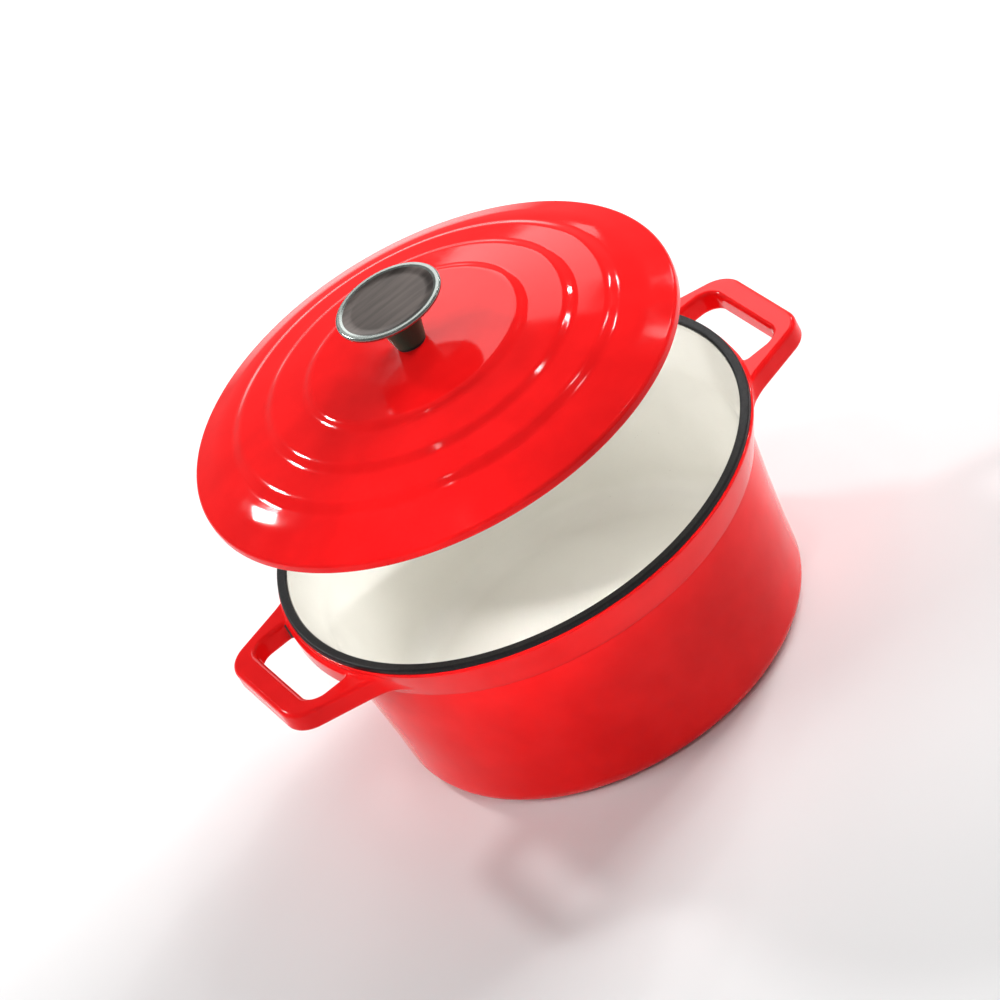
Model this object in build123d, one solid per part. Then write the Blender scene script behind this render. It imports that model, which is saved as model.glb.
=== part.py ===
from build123d import *
import math
import os

# Enamelled cast iron dutch oven: a round pot with two loop handles and a domed lid with a
# steel knob.  Millimetres.  Z is up, X runs through both handles, and the origin is the
# centre of the base, on the plane that the pot stands on.  The lid is held above the pot,
# on the way that it lifts.

# Coats of enamel on the iron
COAT = 0.4

# Pot
POT_HEIGHT = 113.9
RIM_OUTER_R = 125.0
RIM_INNER_R = 119.9
SHOULDER_R = 125.9
SHOULDER_DROP = 2.6
BELT_DROP = 24.0
BELT_FOOT_R = 117.6
STEP_DEPTH = 1.4
STEP_RISE = 1.2
SHOULDER_BAND = 1.4
WALL_MID = (112.3, 55.3)
WALL_LOW = (109.6, 26.0)
BASE_EDGE_R = 108.2
BASE_CORNER = 10.0
FLOOR_Z = 5.0
FLOOR_EDGE_R = 103.8
FLOOR_CORNER = 14.0
WALL = 4.1
MOUTH_DEPTH = 5.0
INNER_END_DROP = 1.7
RIM_EDGE = 0.7
RIM_DEPTH = 2.0

# Foot ring, standing proud of the enamel
FOOT_OUTER_R = 96.0
FOOT_INNER_R = 79.5
FOOT_HEIGHT = 0.4
RECESS = 0.9

# Loop handles, in plan and in height
HANDLE_REACH = 158.2
HANDLE_HALF = 34.8
HANDLE_FLARE = 18.5
HANDLE_CORNER = 16.0
HANDLE_ROOT_R = 119.0
HANDLE_ROOT_BLEND = 12.0
HANDLE_TOP_DROP = 5.8
HANDLE_THICK = 11.5
HANDLE_EDGE = 2.4
GAP_REACH = 145.0
GAP_HALF = 32.6
GAP_WALL_R = 127.2
GAP_CORNER = 9.0
GAP_WALL_CORNER = 3.0
HANDLE_CUT_X = 96.0
HANDLE_ROOT_END_X = 128.0

# Lid, above its own seat plane
LID_R = 125.3
LID_RAISE = 69.7
LID_SHIFT = -6.3
SEAT_OUTER_R = 123.7
FLANGE_ROOT_R = 118.0
FLANGE_OUTER_R = 117.2
FLANGE_INNER_R = 112.6
FLANGE_DEPTH = 3.0
EDGE_TOP = 5.0
BRIM = (109.5, 11.7)
CROWN = (30.0, 28.0)
CROWN_TOP = 28.1
CROWN_FLAT_R = 9.0
CROWN_UNDER = 23.7
DOME_THICK = (4.4, 4.9, 4.7, 4.6, 4.5)

# Stepped rings on the lid, outermost first: foot and crest of each step
RINGS = [
    ((100.8, 14.0), (95.6, 17.0)),
    ((80.4, 20.1), (76.0, 22.4)),
    ((57.8, 25.3), (53.6, 27.3)),
]
RING_FOOT_EASE = 3.2
RING_CREST_EASE = 2.6

# Knob and its fastening, on the lid's axis
SCREW_HOLE_R = 3.4
GASKET_R = 7.3
GASKET_THICK = 0.8
STEM_FOOT_R = 7.6
STEM_TOP_R = 12.2
STEM_HEIGHT = 20.7
STEM_BORE_R = 4.5
STEM_BORE_DEPTH = 14.0
CAP_R = 27.0
CAP_RIM = 2.6
CAP_DISH = 0.9
CAP_UNDER_R = 25.6
CAP_SLOPE = 2.2
SCREW_R = 2.95
THREAD_R = 3.0
SCREW_LENGTH = 16.0
HEAD_R = 5.6
HEAD_HEIGHT = 3.6
WASHER_R = 7.0
WASHER_THICK = 1.2
SPRING_R = 5.4
SPRING_THICK = 1.5
SPRING_SLOT = 1.6


def shifted(points, amount):
    """Outline moved sideways by amount, to the left of its travel, with mitred corners."""
    count = len(points)
    normals = []
    for a, b in zip(points, points[1:]):
        run = math.dist(a, b)
        normals.append(((a[1] - b[1]) / run, (b[0] - a[0]) / run))
    moved = []
    for i, (x, z) in enumerate(points):
        before = normals[max(i - 1, 0)]
        after = normals[min(i, count - 2)]
        reach = amount / (1 + before[0] * after[0] + before[1] * after[1])
        moved.append((x + (before[0] + after[0]) * reach, z + (before[1] + after[1]) * reach))
    return moved


def parallel_radii(points, radii, amount):
    """Corner radii of the shifted outline: smaller inside a bend, larger outside it."""
    changed = []
    for a, b, c, radius in zip(points, points[1:], points[2:], radii):
        turn = (b[0] - a[0]) * (c[1] - b[1]) - (b[1] - a[1]) * (c[0] - b[0])
        changed.append(max(radius - math.copysign(amount, turn), 0) if radius else 0)
    return changed


def outline(points, radii, amount=0.0):
    """Rounded open outline, and its two end points."""
    moved = shifted(points, amount)
    curve = FilletPolyline(*moved, radius=parallel_radii(points, radii, amount))
    return curve, moved[0], moved[-1]


def turned(curve, first, last, *corners):
    """Solid of revolution of the area between an outline and the further corners."""
    path = [last, *corners, first]
    closing = Polyline(*path)
    area = make_face(curve.edges() + closing.edges())
    return revolve(Plane.XZ * area, Axis.Z)


def ring(outer, inner, low, high):
    """Flat ring about the Z axis."""
    body = Cylinder(outer, high - low, align=(Align.CENTER, Align.CENTER, Align.MIN))
    hole = Cylinder(inner, high - low, align=(Align.CENTER, Align.CENTER, Align.MIN))
    return Pos(0, 0, low) * (body - hole)


# ---------------------------------------------------------------- pot

SHOULDER_Z = POT_HEIGHT - SHOULDER_DROP
BELT_Z = POT_HEIGHT - BELT_DROP
COAT_END_R = RIM_OUTER_R - COAT
COVER_END_Z = FOOT_HEIGHT
INNER_END_Z = POT_HEIGHT - INNER_END_DROP

OUTER_POINTS = [
    (FOOT_OUTER_R, COVER_END_Z),
    (BASE_EDGE_R, COVER_END_Z),
    WALL_LOW,
    WALL_MID,
    (BELT_FOOT_R - STEP_DEPTH, BELT_Z - STEP_RISE),
    (BELT_FOOT_R, BELT_Z),
    (SHOULDER_R, SHOULDER_Z - SHOULDER_BAND),
    (SHOULDER_R, SHOULDER_Z),
    (COAT_END_R, SHOULDER_Z),
]
OUTER_RADII = [BASE_CORNER, 120.0, 120.0, 1.0, 1.4, 3.0, 0.9]

INNER_POINTS = [
    (0.0, FLOOR_Z),
    (FLOOR_EDGE_R, FLOOR_Z),
    (WALL_LOW[0] - WALL - COAT, WALL_LOW[1]),
    (WALL_MID[0] - WALL, WALL_MID[1]),
    (BELT_FOOT_R - STEP_DEPTH - WALL, BELT_Z - 3.0),
    (RIM_INNER_R, POT_HEIGHT - MOUTH_DEPTH),
    (RIM_INNER_R, INNER_END_Z),
]
INNER_RADII = [FLOOR_CORNER, 120.0, 120.0, 30.0, 6.0]

RIM_POINTS = [
    (RIM_OUTER_R, SHOULDER_Z),
    (RIM_OUTER_R, POT_HEIGHT - RIM_EDGE),
    (RIM_OUTER_R - RIM_EDGE, POT_HEIGHT),
    (RIM_INNER_R + RIM_EDGE, POT_HEIGHT),
    (RIM_INNER_R, POT_HEIGHT - RIM_EDGE),
    (RIM_INNER_R, INNER_END_Z),
]


def handle_plan():
    """Outer outline of one handle, blended into the wall."""
    slope = math.tan(math.radians(HANDLE_FLARE))
    root_half = HANDLE_HALF + (HANDLE_REACH - HANDLE_CUT_X) * slope
    loop = Polygon(
        (HANDLE_CUT_X, -root_half),
        (HANDLE_REACH, -HANDLE_HALF),
        (HANDLE_REACH, HANDLE_HALF),
        (HANDLE_CUT_X, root_half),
        align=None,
    )
    tips = loop.vertices().group_by(Axis.X)[-1]
    joined = fillet(tips, HANDLE_CORNER) + Circle(HANDLE_ROOT_R)
    roots = [v for v in joined.vertices() if HANDLE_CUT_X < v.X < HANDLE_ROOT_END_X]
    blended = fillet(roots, HANDLE_ROOT_BLEND)
    side = Pos(HANDLE_CUT_X, 0) * Rectangle(400, 400, align=(Align.MIN, Align.CENTER))
    return blended & side


def gap_plan():
    """Outline of the finger gap between a handle and the wall."""
    frame = Pos(GAP_REACH, 0) * Rectangle(GAP_REACH, 2 * GAP_HALF, align=(Align.MAX, Align.CENTER))
    gap = frame - Circle(GAP_WALL_R)
    gap = fillet(gap.vertices().group_by(Axis.X)[-1], GAP_CORNER)
    near = [v for v in gap.vertices() if math.hypot(v.X, v.Y) < GAP_WALL_R + 0.01]
    return fillet(near, GAP_WALL_CORNER)


def handle(inset):
    """One loop handle, on the +X side, inset all over by the coat that covers it."""
    loop = handle_plan()
    gap = gap_plan()
    if inset:
        loop = offset(loop, -inset)
        gap = offset(gap, inset)
    thick = HANDLE_THICK - 2 * inset
    low = POT_HEIGHT - HANDLE_TOP_DROP - HANDLE_THICK + inset
    block = Pos(0, 0, low) * extrude(loop - gap, thick)
    flats = block.faces().sort_by(Axis.Z)
    rims = flats[-1].edges() + flats[0].edges()
    rims = [e for e in rims if e.center().X > HANDLE_CUT_X + inset + 0.5]
    return fillet(rims, HANDLE_EDGE - inset)


def pot_body(inset):
    """Pot filled to its brim, with both handles, inset by the coat that covers it."""
    curve, first, last = outline(OUTER_POINTS, OUTER_RADII, inset)
    corners = [(COAT_END_R, SHOULDER_Z)] if inset else []
    end = [(FOOT_OUTER_R, COVER_END_Z)] if inset else []
    body = turned(curve, first, last, *corners, (0, SHOULDER_Z), (0, COVER_END_Z), *end)
    loop = handle(inset)
    return body + loop + loop.rotate(Axis.Z, 180)


def pot_cavity(grow):
    """Space inside the pot, grown by the coat that lines it."""
    curve, first, last = outline(INNER_POINTS, INNER_RADII, -grow)
    return turned(curve, first, last, (last[0], POT_HEIGHT + 1), (0, POT_HEIGHT + 1))


def pot_casting():
    edge = shifted(RIM_POINTS, COAT)
    low = SHOULDER_Z - RIM_DEPTH
    rim = turned(Polyline(*edge), edge[0], edge[-1], (edge[-1][0], low), (edge[0][0], low))
    body = pot_body(COAT) + rim
    foot_curve = Polyline((0, RECESS), (FOOT_INNER_R - 2, RECESS), (FOOT_INNER_R, 0), (FOOT_OUTER_R, 0))
    foot = turned(foot_curve, (0, RECESS), (FOOT_OUTER_R, 0), (FOOT_OUTER_R, 2), (0, 2))
    under = Cylinder(FOOT_OUTER_R, RECESS + FOOT_HEIGHT, align=(Align.CENTER, Align.CENTER, Align.MIN))
    return body - under + foot - pot_cavity(COAT)


def pot_outer_enamel():
    coat = pot_body(0) - pot_body(COAT)
    return coat - pot_cavity(COAT)


def pot_inner_enamel():
    top = Pos(0, 0, INNER_END_Z) * Cylinder(200, 50, align=(Align.CENTER, Align.CENTER, Align.MIN))
    return pot_cavity(COAT) - pot_cavity(0) - top


def pot_rim_coat():
    under = shifted(RIM_POINTS, COAT)
    return turned(Polyline(*RIM_POINTS), RIM_POINTS[0], RIM_POINTS[-1], *reversed(under))


# ---------------------------------------------------------------- lid

LID_POINTS = [
    (SEAT_OUTER_R, 0.0),
    (LID_R, 0.0),
    (LID_R, EDGE_TOP),
    BRIM,
]
LID_RADII = [1.4, 2.4, 70.0]
for ring_step in RINGS:
    LID_POINTS += ring_step
    LID_RADII += [RING_FOOT_EASE, RING_CREST_EASE]
LID_POINTS += [CROWN, (CROWN_FLAT_R, CROWN_TOP), (SCREW_HOLE_R, CROWN_TOP)]
LID_RADII += [60.0, 20.0]

UNDER_POINTS = [
    (FLANGE_ROOT_R, 0.0),
    (FLANGE_OUTER_R, -FLANGE_DEPTH),
    (FLANGE_INNER_R, -FLANGE_DEPTH),
    (FLANGE_INNER_R - 1.6, BRIM[1] - DOME_THICK[0]),
]
crests = [crest for foot, crest in RINGS]
for edge, thick in zip([*crests, CROWN], DOME_THICK[1:]):
    UNDER_POINTS.append((edge[0], edge[1] - thick))
UNDER_POINTS += [(CROWN_FLAT_R + 1.0, CROWN_UNDER), (SCREW_HOLE_R, CROWN_UNDER)]
UNDER_RADII = [1.0, 1.2, 3.0, 40.0, 90.0, 90.0, 60.0, 30.0]


def lid_top(inset):
    """Dome filled down to the seat plane, inset by the coat that covers it."""
    curve, first, last = outline(LID_POINTS, LID_RADII, inset)
    corners = [(SCREW_HOLE_R, 0), (SEAT_OUTER_R, 0)] if inset else [(SCREW_HOLE_R, 0)]
    return turned(curve, first, last, *corners)


def lid_hollow(grow):
    """Space under the dome and around the flange, grown by the coat that lines it."""
    curve, first, last = outline(UNDER_POINTS, UNDER_RADII, -grow)
    low = -FLANGE_DEPTH - 2
    return turned(curve, first, last, (SCREW_HOLE_R, low), (first[0], low))


def lid_casting():
    filled = lid_top(COAT) + ring(FLANGE_ROOT_R - COAT, SCREW_HOLE_R, -FLANGE_DEPTH, 0)
    seat = ring(LID_R + 1, FLANGE_ROOT_R - COAT, -1, COAT)
    return filled - lid_hollow(COAT) - seat


def lid_top_enamel():
    return lid_top(0) - lid_top(COAT)


def lid_inner_enamel():
    return lid_hollow(COAT) - lid_hollow(0)


def lid_rim_coat():
    return ring(SEAT_OUTER_R, FLANGE_ROOT_R - COAT, 0, COAT) - lid_hollow(COAT)


# ---------------------------------------------------------------- knob and fastening

STEM_Z = CROWN_TOP + GASKET_THICK
CAP_Z = STEM_Z + STEM_HEIGHT


def knob_gasket():
    return ring(GASKET_R, SCREW_HOLE_R, CROWN_TOP, STEM_Z)


def knob_stem():
    points = [(0, STEM_Z), (STEM_FOOT_R, STEM_Z), (STEM_TOP_R, CAP_Z), (0, CAP_Z)]
    curve = FilletPolyline(*points, radius=[1.2, 0])
    stem = turned(curve, points[0], points[-1])
    bore = Cylinder(STEM_BORE_R, STEM_BORE_DEPTH, align=(Align.CENTER, Align.CENTER, Align.MIN))
    return stem - Pos(0, 0, STEM_Z) * bore


def knob_insert():
    return ring(STEM_BORE_R, THREAD_R, STEM_Z, STEM_Z + STEM_BORE_DEPTH)


def knob_cap():
    points = [
        (0, CAP_Z),
        (STEM_TOP_R, CAP_Z),
        (CAP_UNDER_R, CAP_Z + CAP_SLOPE),
        (CAP_R, CAP_Z + CAP_SLOPE + 0.7),
        (CAP_R, CAP_Z + CAP_SLOPE + CAP_RIM),
        (CAP_R - 2.2, CAP_Z + CAP_SLOPE + CAP_RIM),
        (CAP_R - 6.0, CAP_Z + CAP_SLOPE + CAP_RIM - CAP_DISH),
        (0, CAP_Z + CAP_SLOPE + CAP_RIM - CAP_DISH),
    ]
    curve = FilletPolyline(*points, radius=[4.0, 1.0, 0.8, 0.9, 0.8, 20.0])
    return turned(curve, points[0], points[-1])


def flat_washer():
    return ring(WASHER_R, SCREW_HOLE_R, CROWN_UNDER - WASHER_THICK, CROWN_UNDER)


def spring_washer():
    top = CROWN_UNDER - WASHER_THICK
    coil = ring(SPRING_R, SCREW_HOLE_R, top - SPRING_THICK, top)
    slot = Box(SPRING_R * 2, SPRING_SLOT, SPRING_THICK * 4, align=(Align.MIN, Align.CENTER, Align.CENTER))
    return coil - Pos(0, 0, top) * slot


def lid_screw():
    seat = CROWN_UNDER - WASHER_THICK - SPRING_THICK
    points = [(0, seat - HEAD_HEIGHT), (HEAD_R, seat - HEAD_HEIGHT), (HEAD_R, seat), (0, seat)]
    head = turned(FilletPolyline(*points, radius=[2.2, 0]), points[0], points[-1])
    shank = Pos(0, 0, seat) * Cylinder(SCREW_R, SCREW_LENGTH, align=(Align.CENTER, Align.CENTER, Align.MIN))
    slots = Box(7.0, 1.2, 2.2) + Box(1.2, 7.0, 2.2)
    return head + shank - Pos(0, 0, seat - HEAD_HEIGHT) * slots


POT_NODES = [pot_casting, pot_outer_enamel, pot_inner_enamel, pot_rim_coat]
LID_NODES = [
    lid_casting,
    lid_top_enamel,
    lid_inner_enamel,
    lid_rim_coat,
    knob_gasket,
    knob_stem,
    knob_insert,
    knob_cap,
    flat_washer,
    spring_washer,
    lid_screw,
]

os.makedirs("parts", exist_ok=True)
for make in POT_NODES:
    export_step(make(), f"parts/{make.__name__}.step")
for make in LID_NODES:
    raised = Pos(LID_SHIFT, 0, POT_HEIGHT + LID_RAISE) * make()
    export_step(raised, f"parts/{make.__name__}.step")
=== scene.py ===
import math
import bpy
import numpy as np
from mathutils import Matrix, Vector


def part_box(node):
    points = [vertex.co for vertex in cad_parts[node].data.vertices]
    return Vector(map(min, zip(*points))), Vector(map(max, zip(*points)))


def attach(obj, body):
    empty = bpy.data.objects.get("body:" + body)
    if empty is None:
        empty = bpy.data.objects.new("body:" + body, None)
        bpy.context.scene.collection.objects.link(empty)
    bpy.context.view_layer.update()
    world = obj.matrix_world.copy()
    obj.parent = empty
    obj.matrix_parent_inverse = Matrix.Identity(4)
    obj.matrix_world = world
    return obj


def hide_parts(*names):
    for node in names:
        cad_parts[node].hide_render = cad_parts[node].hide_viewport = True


# Enamelled cast iron dutch oven with its lid held above it: looks, floor, light and camera.
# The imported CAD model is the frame.  Profiles are in millimetres, as (radius, height).

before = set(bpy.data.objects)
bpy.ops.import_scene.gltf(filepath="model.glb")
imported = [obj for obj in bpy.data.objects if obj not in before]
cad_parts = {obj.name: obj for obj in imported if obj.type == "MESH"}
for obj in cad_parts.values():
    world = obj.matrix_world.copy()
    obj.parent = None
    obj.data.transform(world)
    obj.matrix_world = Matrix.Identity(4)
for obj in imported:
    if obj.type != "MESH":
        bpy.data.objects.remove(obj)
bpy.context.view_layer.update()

MM = 0.001
POT_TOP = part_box("pot_rim_coat")[1].z
SEAT_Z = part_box("lid_rim_coat")[0].z
KNOB_LOW, KNOB_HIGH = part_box("knob_cap")
LID_AXIS = Vector(((KNOB_LOW.x + KNOB_HIGH.x) / 2, (KNOB_LOW.y + KNOB_HIGH.y) / 2, 0.0))
RIM_CENTRE = Vector((0.0, 0.0, POT_TOP))
LID_TOP = LID_AXIS + Vector((0.0, 0.0, SEAT_Z))   # on the lid's axis, level with its seat

AROUND = 448          # vertices around a turned piece
ARC_STEP = 7.0        # degrees of bend between two points of a profile's corner
SKIN = 0.3            # how thick a piece's skin is drawn, in mm
SHORT_PROFILE = 20    # a longer profile's hidden side keeps every third of its points
AXIS_GAP = 0.02       # how near a profile comes to the axis, in mm

# ---------------------------------------------------------------- profiles (mm)

POT_HEIGHT = 113.9
SHOULDER_Z = 111.3
BELT_FOOT = (117.6, 89.9)
BELT_TOP = (125.9, 109.9)
POT_OUTSIDE = [(96.0, 0.4), (108.2, 0.4), (109.6, 26.0), (112.3, 55.3), (116.2, 88.7), BELT_FOOT,
               BELT_TOP, (125.9, SHOULDER_Z), (124.2, SHOULDER_Z)]
POT_OUTSIDE_RADII = [10.0, 120.0, 120.0, 1.0, 1.4, 3.0, 0.9]
POT_INSIDE = [(0.0, 5.0), (103.8, 5.0), (105.1, 26.0), (108.2, 55.3), (112.1, 86.9), (119.9, 108.9),
              (119.9, 112.3)]
POT_INSIDE_RADII = [14.0, 120.0, 120.0, 30.0, 6.0]
RIM = [(125.0, 110.9), (125.0, POT_HEIGHT), (119.9, POT_HEIGHT), (119.9, 111.9)]
RIM_RADII = [1.1, 1.1]

LID_OUTSIDE = [(123.5, 0.0), (125.3, 0.0), (125.3, 5.0), (109.5, 11.7),
               (100.8, 14.0), (95.6, 17.0), (80.4, 20.1), (76.0, 22.4), (57.8, 25.3), (53.6, 27.3),
               (30.0, 28.0), (9.0, 28.1), (3.4, 28.1)]
LID_OUTSIDE_RADII = [1.4, 2.4, 70.0, 12.0, 11.5, 11.0, 10.5, 10.5, 10.0, 60.0, 20.0]
LID_INSIDE = [(117.6, 0.0), (117.2, -3.0), (112.6, -3.0), (111.0, 7.3), (95.6, 12.1), (76.0, 17.7),
              (53.6, 22.7), (30.0, 23.5), (10.0, 23.7), (3.4, 23.7)]
LID_INSIDE_RADII = [1.0, 1.2, 3.0, 40.0, 90.0, 90.0, 60.0, 30.0]
SEAT = [(117.6, 0.0), (123.7, 0.0)]

STEM = [(3.5, 28.9), (7.6, 28.9), (12.2, 49.6)]
STEM_RADII = [1.2]
CAP_EDGE = (23.6, 54.116)
CAP_RIM = [(12.2, 49.6), (25.6, 51.8), (27.0, 52.5), (27.0, 54.4), (24.8, 54.4), CAP_EDGE]
CAP_RIM_RADII = [1.0, 0.8, 0.9, 0.8]
CAP_FACE = [CAP_EDGE, (21.0, 53.5), (0.0, 53.5)]
CAP_FACE_RADII = [20.0]


# ---------------------------------------------------------------- mesh helpers

def corner(before, at, after, radius):
    """Points and normals along the arc that rounds one corner of a profile."""
    before, at, after = (np.array(p, float) for p in (before, at, after))
    arrive = (at - before) / np.linalg.norm(at - before)
    leave = (after - at) / np.linalg.norm(after - at)
    bend = math.atan2(arrive[0] * leave[1] - arrive[1] * leave[0], float(arrive @ leave))
    back = radius * math.tan(abs(bend) / 2)
    side = math.copysign(1.0, bend)
    start = at - arrive * back
    centre = start + side * radius * np.array([-arrive[1], arrive[0]])
    count = max(2, math.ceil(math.degrees(abs(bend)) / ARC_STEP))
    points, normals = [], []
    for i in range(count + 1):
        turn = bend * i / count
        heading = np.array([arrive[0] * math.cos(turn) - arrive[1] * math.sin(turn),
                            arrive[0] * math.sin(turn) + arrive[1] * math.cos(turn)])
        right = np.array([heading[1], -heading[0]])
        points.append(centre + side * radius * right)
        normals.append(right)
    return points, normals


def profile(points, radii):
    """Rounded profile as points and unit normals, on the right of its travel."""
    ends = []
    for a, b in ((points[0], points[1]), (points[-2], points[-1])):
        run = np.array(b, float) - np.array(a, float)
        run /= np.linalg.norm(run)
        ends.append(np.array([run[1], -run[0]]))
    path, normals = [np.array(points[0], float)], [ends[0]]
    for a, b, c, radius in zip(points, points[1:], points[2:], radii):
        more, facing = corner(a, b, c, radius)
        path += more
        normals += facing
    return np.array(path + [np.array(points[-1], float)]), np.array(normals + [ends[1]])


def add_mesh(name, points, faces, normals, body, material):
    """A smooth object with exact normals, riding on a body."""
    mesh = bpy.data.meshes.new(name)
    mesh.from_pydata([tuple(p) for p in points], [], [tuple(f) for f in faces])
    mesh.validate()
    mesh.polygons.foreach_set("use_smooth", [True] * len(mesh.polygons))
    mesh.normals_split_custom_set_from_vertices([tuple(n) for n in normals])
    mesh.materials.append(material)
    piece = bpy.data.objects.new(name, mesh)
    bpy.context.scene.collection.objects.link(piece)
    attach(piece, body)
    return piece


def turned(name, points, radii, body, material, outward=1.0, base=(0.0, 0.0, 0.0)):
    """A closed skin turned about a vertical axis.  The profile is the side that's seen."""
    path, normals = profile(points, radii)
    normals = normals * outward
    skip = -3 if len(path) > SHORT_PROFILE else -1
    hidden = (path - normals * SKIN)[::skip]
    loop = np.vstack([path, hidden])
    facing = np.vstack([normals, -normals[::skip]])
    loop[:, 0] = np.maximum(loop[:, 0], AXIS_GAP)
    angle = np.arange(AROUND) * 2 * math.pi / AROUND
    c, s = np.cos(angle)[:, None], np.sin(angle)[:, None]
    count = len(loop)
    place, lean = (np.stack([c * flat[:, 0], s * flat[:, 0], np.broadcast_to(flat[:, 1], (AROUND, count))], 2)
                   for flat in (loop, facing))
    i, j = np.meshgrid(np.arange(AROUND), np.arange(count), indexing="ij")
    here, ahead = i * count, (i + 1) % AROUND * count
    nxt = (j + 1) % count
    quads = np.stack([here + j, ahead + j, ahead + nxt, here + nxt], 2).reshape(-1, 4)
    if outward < 0:
        quads = quads[:, ::-1]
    points3 = place.reshape(-1, 3) * MM + np.array(base)
    return add_mesh(name, points3, quads, lean.reshape(-1, 3), body, material)


# ---------------------------------------------------------------- handles, as one surface with the belt

HANDLE_REACH, HANDLE_HALF, HANDLE_CORNER = 158.2, 34.8, 16.0
HANDLE_FLARE = math.radians(18.5)
HANDLE_ROOT_R, HANDLE_ROOT_BLEND = 114.0, 17.0
HANDLE_MID_Z, HANDLE_THICK, HANDLE_EDGE = 102.35, 11.5, 2.4
GAP_REACH, GAP_HALF, GAP_CORNER = 145.0, 32.6, 9.0
GAP_WALL_R, GAP_WALL_CORNER = 127.2, 3.0
FILLET = 3.2          # between the handle and the belt
SUNK = 0.004          # how far the handle's mesh lies under the belt beyond its fillet
CELL = 0.75
SETTLE_STEPS, RELAX_STEPS = 5, 3
STEEPNESS_FLOOR = 0.05
KEPT_BEYOND = 1.5     # how much of the belt is kept around the handle's fillet
RIM_OVERLAP = 1.0     # how far the kept surface reaches in under the rim's coat
SHOULDER_MARGIN = 2.0
GRID_LOW, GRID_HIGH = (97.0, -68.0, 91.0), (160.0, 68.0, 112.5)


def both(a, b, radius):
    """Inside both distances, the edge between them rounded."""
    reach = np.hypot(np.maximum(radius + a, 0), np.maximum(radius + b, 0))
    return np.minimum(-radius, np.maximum(a, b)) + reach


def either(a, b, radius):
    """Inside either distance, with a fillet between them."""
    reach = np.hypot(np.maximum(radius - a, 0), np.maximum(radius - b, 0))
    return np.maximum(radius, np.minimum(a, b)) - reach


def tip_distance(x, y):
    """Signed distance to the handle's outline in plan: a bar end, a flared arm and a round corner."""
    lean, level = math.sin(HANDLE_FLARE), math.cos(HANDLE_FLARE)
    centre_x = HANDLE_REACH - HANDLE_CORNER
    centre_y = HANDLE_HALF - HANDLE_CORNER * (1 - lean) / level
    out, up = x - centre_x, y - centre_y
    straight = np.maximum(out, out * lean + up * level)
    beyond = (up > 0) & (out * level - up * lean > 0)
    return np.where(beyond, np.hypot(out, up), straight) - HANDLE_CORNER


def handle_distance(x, y, z):
    """Signed distance to a loop handle on the +X side."""
    y = np.abs(y)
    across = np.hypot(x, y)
    plan = tip_distance(x, y)
    plan = either(plan, across - HANDLE_ROOT_R, HANDLE_ROOT_BLEND)
    gap = both(x - GAP_REACH, y - GAP_HALF, GAP_CORNER)
    gap = both(gap, GAP_WALL_R - across, GAP_WALL_CORNER)
    plan = np.maximum(plan, -gap)
    return both(plan, np.abs(z - HANDLE_MID_Z) - HANDLE_THICK / 2, HANDLE_EDGE)


def belt_distance(x, y, z):
    """Signed distance to the belt of the pot, above the step."""
    across = np.hypot(x, y)
    run, rise = BELT_TOP[0] - BELT_FOOT[0], BELT_TOP[1] - BELT_FOOT[1]
    slant = ((across - BELT_FOOT[0]) * rise - (z - BELT_FOOT[1]) * run) / math.hypot(run, rise)
    wall = both(slant, across - BELT_TOP[0], POT_OUTSIDE_RADII[5])
    return both(wall, z - SHOULDER_Z, POT_OUTSIDE_RADII[6])


def body_distance(p):
    """Signed distance to the handle and the belt, with the fillet between them."""
    x, y, z = p[..., 0], p[..., 1], p[..., 2]
    return either(handle_distance(x, y, z), belt_distance(x, y, z) + SUNK, FILLET)


def slope_of(p, step=0.02):
    """Gradient of body_distance."""
    parts = []
    for axis in range(3):
        move = np.zeros(3)
        move[axis] = step
        parts.append((body_distance(p + move) - body_distance(p - move)) / (2 * step))
    return np.stack(parts, -1)


def settle(p):
    """Points moved onto the surface."""
    for _ in range(SETTLE_STEPS):
        slope = slope_of(p)
        p = p - slope * (body_distance(p) / np.maximum((slope ** 2).sum(-1), STEEPNESS_FLOOR))[:, None]
    return p


def surface_cells():
    """Quads around the surface, one vertex in each grid cell that it crosses."""
    axes = [np.arange(a, b + CELL, CELL) for a, b in zip(GRID_LOW, GRID_HIGH)]
    grid = np.stack(np.meshgrid(*axes, indexing="ij"), -1)
    inside = body_distance(grid) < 0
    corners = [inside[a:a - 1 or None, b:b - 1 or None, c:c - 1 or None]
               for a in (0, 1) for b in (0, 1) for c in (0, 1)]
    total = sum(at.astype(int) for at in corners)
    mixed = (total > 0) & (total < len(corners))
    number = np.full(mixed.shape, -1)
    number[mixed] = np.arange(mixed.sum())
    centres = grid[:-1, :-1, :-1][mixed] + CELL / 2
    quads = []
    for axis in range(3):
        u, v = (axis + 1) % 3, (axis + 2) % 3
        first = np.moveaxis(inside, (axis, u, v), (0, 1, 2))
        cells = np.moveaxis(number, (axis, u, v), (0, 1, 2))
        low, high = first[:-1, 1:-1, 1:-1], first[1:, 1:-1, 1:-1]
        for crossing, flip in ((low & ~high, False), (~low & high, True)):
            i, j, k = np.nonzero(crossing)
            around = np.stack([cells[i, j, k], cells[i, j + 1, k],
                               cells[i, j + 1, k + 1], cells[i, j, k + 1]], 1)
            quads.append(around[:, ::-1] if flip else around)
    quads = np.vstack(quads)
    return centres, quads[(quads >= 0).all(1)]


def relax(p, quads):
    """Points moved to the middle of their neighbours, then back onto the surface."""
    total, count = np.zeros_like(p), np.zeros(len(p))
    for a, b in ((0, 1), (1, 2), (2, 3), (3, 0)):
        for start, end in ((a, b), (b, a)):
            np.add.at(total, quads[:, start], p[quads[:, end]])
            np.add.at(count, quads[:, start], 1)
    return settle(total / np.maximum(count, 1)[:, None])


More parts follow.
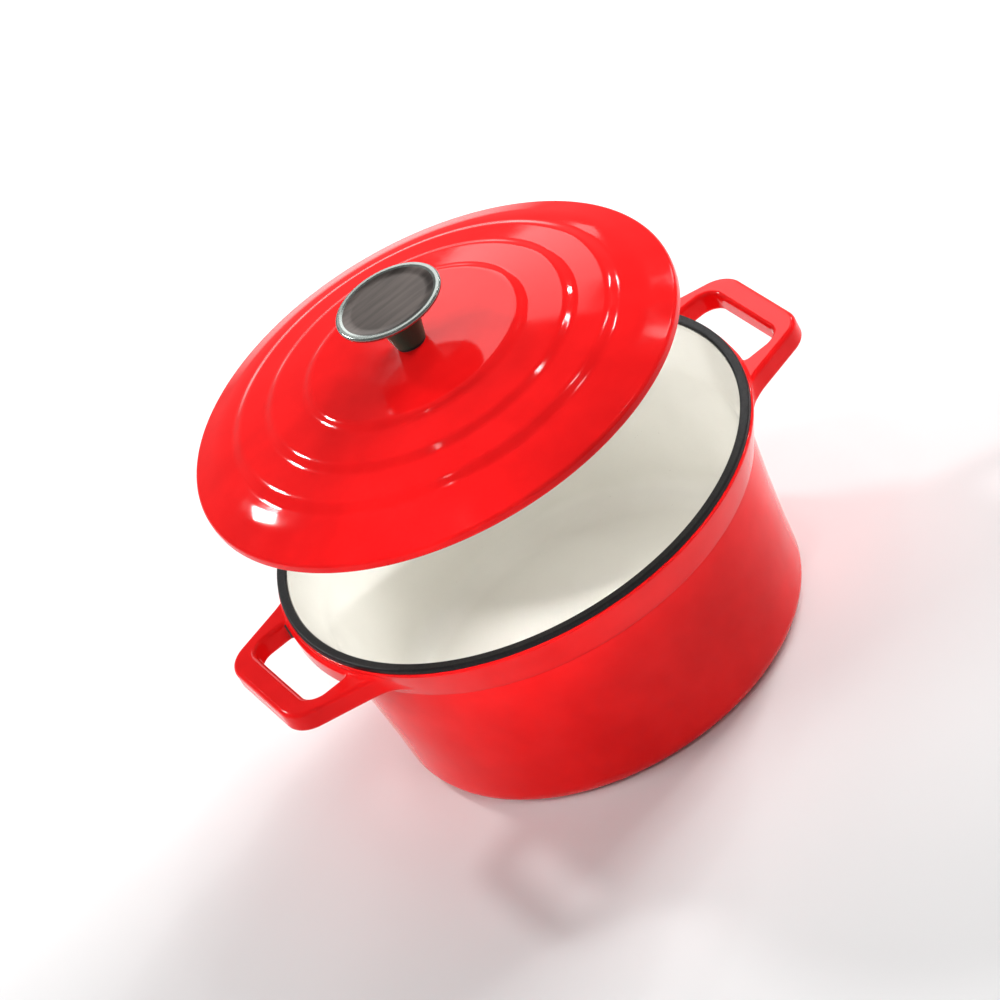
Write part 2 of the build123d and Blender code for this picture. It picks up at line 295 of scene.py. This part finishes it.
def handle_mesh():
    """Points, quads and normals of the handle on the +X side, with its fillets into the belt."""
    points, quads = surface_cells()
    points = settle(points)
    for _ in range(RELAX_STEPS):
        points = relax(points, quads)
    x, y, z = points.T
    near = handle_distance(x, y, z) < FILLET + KEPT_BEYOND
    near &= (np.hypot(x, y) > RIM[0][0] - RIM_OVERLAP) | (z < SHOULDER_Z - SHOULDER_MARGIN)
    quads = quads[near[quads].all(1)]
    used = np.unique(quads)
    renumber = np.full(len(points), -1)
    renumber[used] = np.arange(len(used))
    points, quads = points[used], renumber[quads]
    slope = slope_of(points)
    return points, quads, slope / np.linalg.norm(slope, axis=1)[:, None]


def handles(material):
    """Both handles, the left one being the right one turned half round."""
    points, quads, normals = handle_mesh()
    for name, side in (("handle_right", 1.0), ("handle_left", -1.0)):
        turn = np.array([side, side, 1.0])
        piece = add_mesh(name, points * turn * MM, quads, normals * turn, "pot", material)
        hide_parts("pot_outer_enamel")


# ---------------------------------------------------------------- materials

MIX_FIRST, MIX_SECOND, MIX_RESULT = 6, 7, 2       # a mix node's colour sockets


class Nodes:
    """A material's nodes, with short calls for the ones used here."""

    def __init__(self, name):
        self.material = bpy.data.materials.new(name)
        self.material.use_nodes = True
        self.tree = self.material.node_tree
        self.shader = self.tree.nodes["Principled BSDF"]
        self.place = self.add("ShaderNodeTexCoord").outputs["Object"]

    def add(self, kind, **values):
        node = self.tree.nodes.new(kind)
        for key, value in values.items():
            setattr(node, key, value)
        return node

    def join(self, output, target):
        self.tree.links.new(output, target)

    def set(self, **values):
        for key, value in values.items():
            self.shader.inputs[key.replace("_", " ")].default_value = value

    def noise(self, size, detail=2.0, stretch=None):
        """Noise whose features are about `size` mm across, from 0 to 1."""
        node = self.add("ShaderNodeTexNoise")
        node.inputs["Scale"].default_value = 1.0 / (size * MM)
        node.inputs["Detail"].default_value = detail
        place = self.place
        if stretch:
            mapping = self.add("ShaderNodeMapping")
            mapping.inputs["Scale"].default_value = stretch
            self.join(place, mapping.inputs["Vector"])
            place = mapping.outputs["Vector"]
        self.join(place, node.inputs["Vector"])
        return node.outputs["Fac"]

    def ramp(self, value, low, high, start, end):
        """A value from low to high as `value` goes from start to end."""
        node = self.add("ShaderNodeMapRange")
        for key, number in (("From Min", start), ("From Max", end), ("To Min", low), ("To Max", high)):
            node.inputs[key].default_value = number
        self.join(value, node.inputs["Value"])
        return node.outputs["Result"]

    def blend(self, factor, first, second):
        """A colour between two."""
        node = self.add("ShaderNodeMix", data_type="RGBA")
        self.join(factor, node.inputs["Factor"])
        node.inputs[MIX_FIRST].default_value = (*first, 1.0)
        node.inputs[MIX_SECOND].default_value = (*second, 1.0)
        return node.outputs[MIX_RESULT]

    def bumps(self, *layers):
        """Bumps, each a height and its depth in mm, one on another."""
        normal = None
        for height, depth in layers:
            node = self.add("ShaderNodeBump")
            node.inputs["Distance"].default_value = depth * MM
            self.join(height, node.inputs["Height"])
            if normal:
                self.join(normal, node.inputs["Normal"])
            normal = node.outputs["Normal"]
        self.join(normal, self.shader.inputs["Normal"])


def red_enamel():
    """Glossy vitreous enamel, faintly uneven in thickness, with the softest orange peel."""
    m = Nodes("red_enamel")
    shade = m.ramp(m.noise(28.0, 3.0), 0.0, 1.0, 0.35, 0.65)
    m.join(m.blend(shade, (0.72, 0.0062, 0.0070), (0.80, 0.0080, 0.0088)), m.shader.inputs["Base Color"])
    m.join(m.ramp(m.noise(9.0), 0.055, 0.10, 0.3, 0.7), m.shader.inputs["Roughness"])
    m.set(IOR=1.35, Specular_IOR_Level=0.26)
    m.bumps((m.noise(24.0, 1.0), 0.06), (m.noise(5.0, 1.0), 0.006))
    return m.material


def cream_enamel():
    """Glossy cream lining enamel with rare tiny specks and a soft unevenness."""
    m = Nodes("cream_enamel")
    shade = m.ramp(m.noise(40.0, 3.0), 0.0, 1.0, 0.35, 0.65)
    tone = m.blend(shade, (0.90, 0.885, 0.83), (0.93, 0.915, 0.86))
    speck = m.ramp(m.noise(0.7, 1.0), 0.0, 1.0, 0.80, 0.84)
    mix = m.add("ShaderNodeMix", data_type="RGBA")
    m.join(speck, mix.inputs["Factor"])
    m.join(tone, mix.inputs[MIX_FIRST])
    mix.inputs[MIX_SECOND].default_value = (0.35, 0.30, 0.24, 1.0)
    m.join(mix.outputs[MIX_RESULT], m.shader.inputs["Base Color"])
    m.join(m.ramp(m.noise(12.0), 0.10, 0.17, 0.3, 0.7), m.shader.inputs["Roughness"])
    m.set(IOR=1.5)
    m.bumps((m.noise(30.0, 1.0), 0.08), (m.noise(4.0, 1.0), 0.005))
    return m.material


def black_ground_coat():
    """Satin black ground enamel on the rims, speckled with tiny pits and glints."""
    m = Nodes("black_ground_coat")
    speck = m.ramp(m.noise(0.55, 3.0), 0.0, 1.0, 0.52, 0.75)
    m.join(m.blend(speck, (0.006, 0.0055, 0.006), (0.022, 0.021, 0.022)), m.shader.inputs["Base Color"])
    m.join(m.ramp(m.noise(0.9, 2.0), 0.30, 0.52, 0.3, 0.7), m.shader.inputs["Roughness"])
    m.set(IOR=1.45, Specular_IOR_Level=0.25)
    m.bumps((m.noise(6.0, 2.0), 0.05), (m.noise(0.8, 3.0), 0.02))
    return m.material


def ground_iron():
    """Bare grey iron of the ground foot ring, dull, with a fine cast grain."""
    m = Nodes("ground_iron")
    shade = m.ramp(m.noise(7.0, 5.0), 0.0, 1.0, 0.35, 0.65)
    m.join(m.blend(shade, (0.045, 0.042, 0.040), (0.105, 0.098, 0.092)), m.shader.inputs["Base Color"])
    m.join(m.ramp(m.noise(2.0, 3.0), 0.45, 0.68, 0.3, 0.7), m.shader.inputs["Roughness"])
    m.set(Metallic=0.75)
    m.bumps((m.noise(3.0, 3.0), 0.05), (m.noise(0.5, 3.0), 0.03))
    return m.material


def steel(name, tone, low, high, grain, stretch=None, depth=0.004, metallic=1.0, dark=0.86):
    """Steel with a grain of lines, `grain` mm wide, whose darker ones are `dark` times its tone."""
    m = Nodes(name)
    lines = m.noise(grain, 2.0, stretch)
    shade = m.ramp(lines, 0.0, 1.0, 0.35, 0.65)
    m.join(m.blend(shade, tuple(dark * t for t in tone), tone), m.shader.inputs["Base Color"])
    m.join(m.ramp(lines, low, high, 0.3, 0.7), m.shader.inputs["Roughness"])
    m.set(Metallic=metallic)
    m.bumps((lines, depth))
    return m.material


def silicone():
    """Dull black rubber of the gasket under the knob."""
    m = Nodes("silicone")
    tone = m.blend(m.noise(1.5, 2.0), (0.016, 0.016, 0.017), (0.028, 0.028, 0.030))
    m.join(tone, m.shader.inputs["Base Color"])
    m.join(m.ramp(m.noise(1.0, 2.0), 0.5, 0.7, 0.3, 0.7), m.shader.inputs["Roughness"])
    m.bumps((m.noise(0.6, 2.0), 0.01))
    return m.material


# ---------------------------------------------------------------- pieces

def pot_pieces(look):
    """The pot's coats and its handles."""
    skins = (
        ("pot_outside", POT_OUTSIDE, POT_OUTSIDE_RADII, "red_enamel", 1.0, "pot_outer_enamel"),
        ("pot_inside", POT_INSIDE, POT_INSIDE_RADII, "cream_enamel", -1.0, "pot_inner_enamel"),
        ("pot_rim", RIM, RIM_RADII, "black_ground_coat", 1.0, "pot_rim_coat"),
    )
    for name, points, radii, finish, outward, node in skins:
        piece = turned(name, points, radii, "pot", look[finish], outward)
        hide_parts(node)
    handles(look["red_enamel"])


def lid_pieces(look):
    """The lid's coats and its knob."""
    skins = (
        ("lid_outside", LID_OUTSIDE, LID_OUTSIDE_RADII, "red_enamel", 1.0, "lid_top_enamel"),
        ("lid_inside", LID_INSIDE, LID_INSIDE_RADII, "cream_enamel", -1.0, "lid_inner_enamel"),
        ("lid_seat", SEAT, [], "black_ground_coat", 1.0, "lid_rim_coat"),
        ("stem", STEM, STEM_RADII, "knob_steel", 1.0, "knob_stem"),
        ("cap_rim", CAP_RIM, CAP_RIM_RADII, "polished_knob_steel", 1.0, "knob_cap"),
        ("cap_face", CAP_FACE, CAP_FACE_RADII, "brushed_knob_steel", 1.0, "knob_cap"),
    )
    for name, points, radii, finish, outward, node in skins:
        piece = turned(name, points, radii, "lid", look[finish], outward, LID_TOP)
        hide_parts(node)


def finish_cad_nodes(look):
    """The CAD nodes that stay get the looks too."""
    finishes = {
        "pot_casting": "ground_iron", "lid_casting": "ground_iron", "knob_gasket": "silicone",
        "knob_insert": "insert_steel", "flat_washer": "fastener_steel", "spring_washer": "fastener_steel",
        "lid_screw": "fastener_steel",
    }
    for node, finish in finishes.items():
        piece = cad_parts[node]
        if not piece.material_slots:
            piece.data.materials.append(look[finish])
        for place in piece.material_slots:
            place.material = look[finish]


# ---------------------------------------------------------------- stage, light, camera

MIDDLE = (0.0, 0.0, 0.1)                          # what the lights aim at, in metres
POT_FLOOR = (0.0, 0.0, 0.01)
UPPER_BODY = (0.0, 0.0, 0.075)
WORLD_STRENGTH = 0.28
ELEVATION, SWING, ROLL = 34.57, 13.51, 30.48      # degrees
DISTANCE = 2.1484
OFF_CENTRE = (0.004287, -0.008613)                # of the rim's centre, right and down in the view
LENS, SENSOR = 160.8, 36.0
FAR_END = 20.0
FLOOR_HALF = 6.0


def floor():
    """A plain pale floor."""
    corners = [(x * FLOOR_HALF, y * FLOOR_HALF, 0) for x, y in ((-1, -1), (1, -1), (1, 1), (-1, 1))]
    mesh = bpy.data.meshes.new("floor")
    mesh.from_pydata(corners, [], [(0, 1, 2, 3)])
    plane = bpy.data.objects.new("floor", mesh)
    bpy.context.scene.collection.objects.link(plane)
    m = Nodes("floor_paint")
    m.join(m.blend(m.noise(60.0, 4.0), (0.74, 0.74, 0.74), (0.76, 0.76, 0.76)), m.shader.inputs["Base Color"])
    m.set(Roughness=0.9, Specular_IOR_Level=0.1)
    mesh.materials.append(m.material)


def view_axes():
    """The camera's turn, as a matrix whose columns are its right, up and back."""
    tilt = Matrix.Rotation(math.radians(90 - ELEVATION), 3, "X")
    level = Matrix.Rotation(-math.radians(SWING), 3, "Z") @ tilt
    return level @ Matrix.Rotation(-math.radians(ROLL), 3, "Z")


def camera():
    """The camera, looking down on the rim's centre and rolled."""
    turn = view_axes()
    right, up, back = turn.col
    data = bpy.data.cameras.new("camera")
    data.lens = LENS
    data.sensor_width = SENSOR
    data.clip_end = FAR_END
    place = bpy.data.objects.new("camera", data)
    where = RIM_CENTRE - right * OFF_CENTRE[0] + up * OFF_CENTRE[1] + back * DISTANCE
    place.matrix_world = Matrix.Translation(where) @ turn.to_4x4()
    bpy.context.scene.collection.objects.link(place)
    bpy.context.scene.camera = place


def softbox(name, toward, distance, width, height, power, aim=MIDDLE, mirrored=True, spread=180.0):
    """A soft light, `toward` being its direction from the object: right, away and up, level with the view.
    One that isn't mirrored lights the object but shows in no gloss."""
    turn = Matrix.Rotation(-math.radians(SWING), 3, "Z")
    direction = (turn @ Vector(toward)).normalized()
    data = bpy.data.lights.new(name, "AREA")
    data.shape = "RECTANGLE"
    data.size, data.size_y = width, height
    data.energy = power
    data.spread = math.radians(spread)
    light = bpy.data.objects.new(name, data)
    light.location = Vector(aim) + direction * distance
    light.rotation_euler = direction.to_track_quat("Z", "Y").to_euler()
    light.visible_glossy = mirrored
    bpy.context.scene.collection.objects.link(light)


def lights():
    """Small panes for the lid's highlights, a panel behind for its sheen, and soft fill from the sides."""
    softbox("key", (-0.44, 0.67, 0.60), 1.6, 0.16, 0.16, 9.0, aim=LID_TOP)
    softbox("pane_far", (0.58, 0.685, 0.44), 1.6, 0.045, 0.16, 2.2, aim=LID_TOP)
    softbox("pane_near", (0.58, 0.485, 0.655), 1.6, 0.045, 0.16, 2.2, aim=LID_TOP)
    softbox("pane_side", (0.47, 0.18, 0.865), 1.6, 0.04, 0.12, 1.4, aim=LID_TOP)
    softbox("strip_top", (-0.15, 0.02, 0.99), 1.6, 0.20, 0.03, 0.6, aim=LID_TOP)
    softbox("back", (0.15, 0.84, 0.50), 2.2, 0.70, 0.95, 6.0)
    softbox("side_left", (-1.0, 0.10, 0.35), 1.7, 0.9, 1.1, 18.0, mirrored=False)
    softbox("side_right", (0.85, 0.50, 0.50), 1.8, 0.8, 1.0, 36.0, mirrored=False)
    softbox("front_top", (0.25, -0.85, 0.93), 1.6, 0.45, 0.45, 0.12, aim=RIM_CENTRE, mirrored=False,
            spread=30.0)
    softbox("into_pot", (-0.30, -0.80, 0.95), 1.6, 0.10, 0.10, 0.035, aim=POT_FLOOR, mirrored=False,
            spread=6.0)
    softbox("front_band", (0.20, -0.90, 0.30), 1.1, 0.30, 0.02, 0.025, aim=UPPER_BODY, mirrored=False,
            spread=6.0)
    world = bpy.data.worlds.new("studio")
    world.use_nodes = True
    background = world.node_tree.nodes["Background"]
    background.inputs["Color"].default_value = (1.0, 1.0, 1.0, 1.0)
    background.inputs["Strength"].default_value = WORLD_STRENGTH
    bpy.context.scene.world = world
    bpy.context.scene.view_settings.view_transform = "Standard"


# ---------------------------------------------------------------- scene

looks = {
    "red_enamel": red_enamel(),
    "cream_enamel": cream_enamel(),
    "black_ground_coat": black_ground_coat(),
    "ground_iron": ground_iron(),
    "brushed_knob_steel": steel("brushed_knob_steel", (0.125, 0.104, 0.094), 0.28, 0.40, 3.5,
                                (0.12, 1.0, 1.0), dark=0.55),
    "polished_knob_steel": steel("polished_knob_steel", (0.30, 0.33, 0.31), 0.16, 0.26, 1.0),
    "knob_steel": steel("knob_steel", (0.014, 0.105, 0.075), 0.28, 0.38, 1.0,
                        (1.0, 1.0, 0.15), 0.002, 0.2),
    "insert_steel": steel("insert_steel", (0.60, 0.58, 0.55), 0.25, 0.35, 1.0),
    "fastener_steel": steel("fastener_steel", (0.62, 0.61, 0.59), 0.18, 0.30, 1.5),
    "silicone": silicone(),
}
pot_pieces(looks)
lid_pieces(looks)
finish_cad_nodes(looks)
floor()
lights()
camera()
